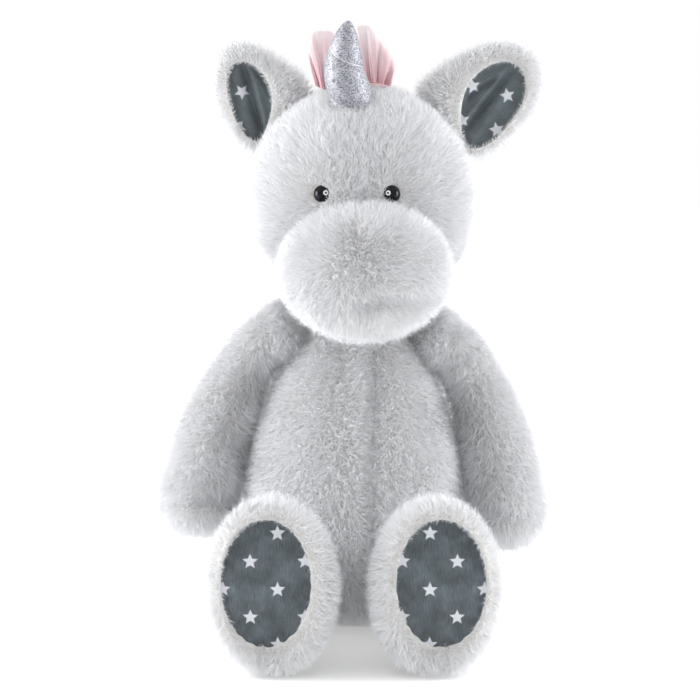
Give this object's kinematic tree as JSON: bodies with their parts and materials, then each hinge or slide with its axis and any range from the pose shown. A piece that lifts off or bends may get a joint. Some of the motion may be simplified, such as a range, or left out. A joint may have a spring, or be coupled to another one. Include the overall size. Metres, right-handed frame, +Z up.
{
  "type": "plush unicorn",
  "caption": "Seated fur-fabric unicorn with a big soft muzzle, glitter horn, gathered net mane, star-printed ears and soles, and limbs sewn on to turn at their seams.",
  "frame": {"origin": "on the surface the toy sits on, under the middle of its bounding box", "axes": "+Z up, -Y the way the toy faces, +X its own left side"},
  "size_m": [0.2692, 0.2707, 0.3996],
  "materials": {
    "white_fur": "long-pile white fur fabric, brushed",
    "star_print_plush": "short-pile grey plush printed with pale stars",
    "glitter_fabric": "silver glitter-coated fabric",
    "silver_thread": "metallic wrapped thread",
    "pink_net": "soft pale-pink net, gathered",
    "eye_plastic": "polished black moulded plastic",
    "washer_plastic": "moulded natural plastic",
    "stuffing": "polyester fibre filling",
    "pouch_cloth": "woven polyester pouch",
    "pellets": "small plastic pellets",
    "seam_thread": "gathered fur fabric and closing stitches"
  },
  "bodies": {
    "torso": {"torso_front_left": "white_fur", "torso_front_right": "white_fur", "torso_back_left": "white_fur", "torso_back_right": "white_fur", "torso_base": "white_fur", "torso_stuffing": "stuffing", "pellet_pouch": "pouch_cloth", "pellets": "pellets"},
    "neck": {"neck_seam": "seam_thread"},
    "head": {"head_left_panel": "white_fur", "head_right_panel": "white_fur", "head_gusset": "white_fur", "muzzle_top": "white_fur", "chin": "white_fur", "head_stuffing": "stuffing", "left_eye": "eye_plastic", "right_eye": "eye_plastic", "left_eye_washer": "washer_plastic", "right_eye_washer": "washer_plastic", "horn_cover": "glitter_fabric", "horn_core": "stuffing", "horn_thread": "silver_thread", "mane_tape": "pink_net", "mane_left_lobe": "pink_net", "mane_right_lobe": "pink_net"},
    "left_ear": {"left_ear_back": "white_fur", "left_ear_lining": "star_print_plush"},
    "left_shoulder": {"left_shoulder_seam": "seam_thread"},
    "left_arm": {"left_arm_outer": "white_fur", "left_arm_inner": "white_fur", "left_arm_stuffing": "stuffing"},
    "left_hip": {"left_hip_seam": "seam_thread"},
    "left_leg": {"left_leg_top": "white_fur", "left_leg_bottom": "white_fur", "left_foot_sole": "star_print_plush", "left_leg_stuffing": "stuffing"},
    "right_ear": {"right_ear_back": "white_fur", "right_ear_lining": "star_print_plush"},
    "right_shoulder": {"right_shoulder_seam": "seam_thread"},
    "right_arm": {"right_arm_outer": "white_fur", "right_arm_inner": "white_fur", "right_arm_stuffing": "stuffing"},
    "right_hip": {"right_hip_seam": "seam_thread"},
    "right_leg": {"right_leg_top": "white_fur", "right_leg_bottom": "white_fur", "right_foot_sole": "star_print_plush", "right_leg_stuffing": "stuffing"}
  },
  "joints": [
    {"name": "neck_turn", "type": "hinge", "parent": "torso", "child": "neck", "pos_m": [0.008, 0.059, 0.2], "axis": [0, 0, 1], "range_deg": [-20, 20]},
    {"name": "head_nod", "type": "hinge", "parent": "neck", "child": "head", "pos_m": [0.008, 0.059, 0.204], "axis": [-1, 0, 0], "range_deg": [-4, 12]},
    {"name": "left_ear_fold", "type": "hinge", "parent": "head", "child": "left_ear", "pos_m": [0.07465, 0.059, 0.33892], "axis": [0.6428, 0, -0.766], "range_deg": [-25, 35]},
    {"name": "left_arm_swing", "type": "hinge", "parent": "torso", "child": "left_shoulder", "pos_m": [0.058, 0.059, 0.188], "axis": [-1, 0, 0], "range_deg": [-30, 60]},
    {"name": "left_arm_lift", "type": "hinge", "parent": "left_shoulder", "child": "left_arm", "pos_m": [0.058, 0.059, 0.188], "axis": [0, -1, 0], "range_deg": [0, 60]},
    {"name": "left_leg_splay", "type": "hinge", "parent": "torso", "child": "left_hip", "pos_m": [0.046, 0.017, 0.036], "axis": [0, 0, 1], "range_deg": [-3, 12]},
    {"name": "left_leg_lift", "type": "hinge", "parent": "left_hip", "child": "left_leg", "pos_m": [0.046, 0.017, 0.036], "axis": [-1, 0, 0], "range_deg": [-18, 20]},
    {"name": "right_ear_fold", "type": "hinge", "parent": "head", "child": "right_ear", "pos_m": [-0.05458, 0.059, 0.34343], "axis": [0.9205, 0, 0.3907], "range_deg": [-25, 35]},
    {"name": "right_arm_swing", "type": "hinge", "parent": "torso", "child": "right_shoulder", "pos_m": [-0.045, 0.059, 0.192], "axis": [-1, 0, 0], "range_deg": [-30, 60]},
    {"name": "right_arm_lift", "type": "hinge", "parent": "right_shoulder", "child": "right_arm", "pos_m": [-0.045, 0.059, 0.192], "axis": [0, 1, 0], "range_deg": [0, 60]},
    {"name": "right_leg_splay", "type": "hinge", "parent": "torso", "child": "right_hip", "pos_m": [-0.043, 0.017, 0.036], "axis": [0, 0, -1], "range_deg": [-3, 12]},
    {"name": "right_leg_lift", "type": "hinge", "parent": "right_hip", "child": "right_leg", "pos_m": [-0.043, 0.017, 0.036], "axis": [-1, 0, 0], "range_deg": [-18, 20]}
  ]
}
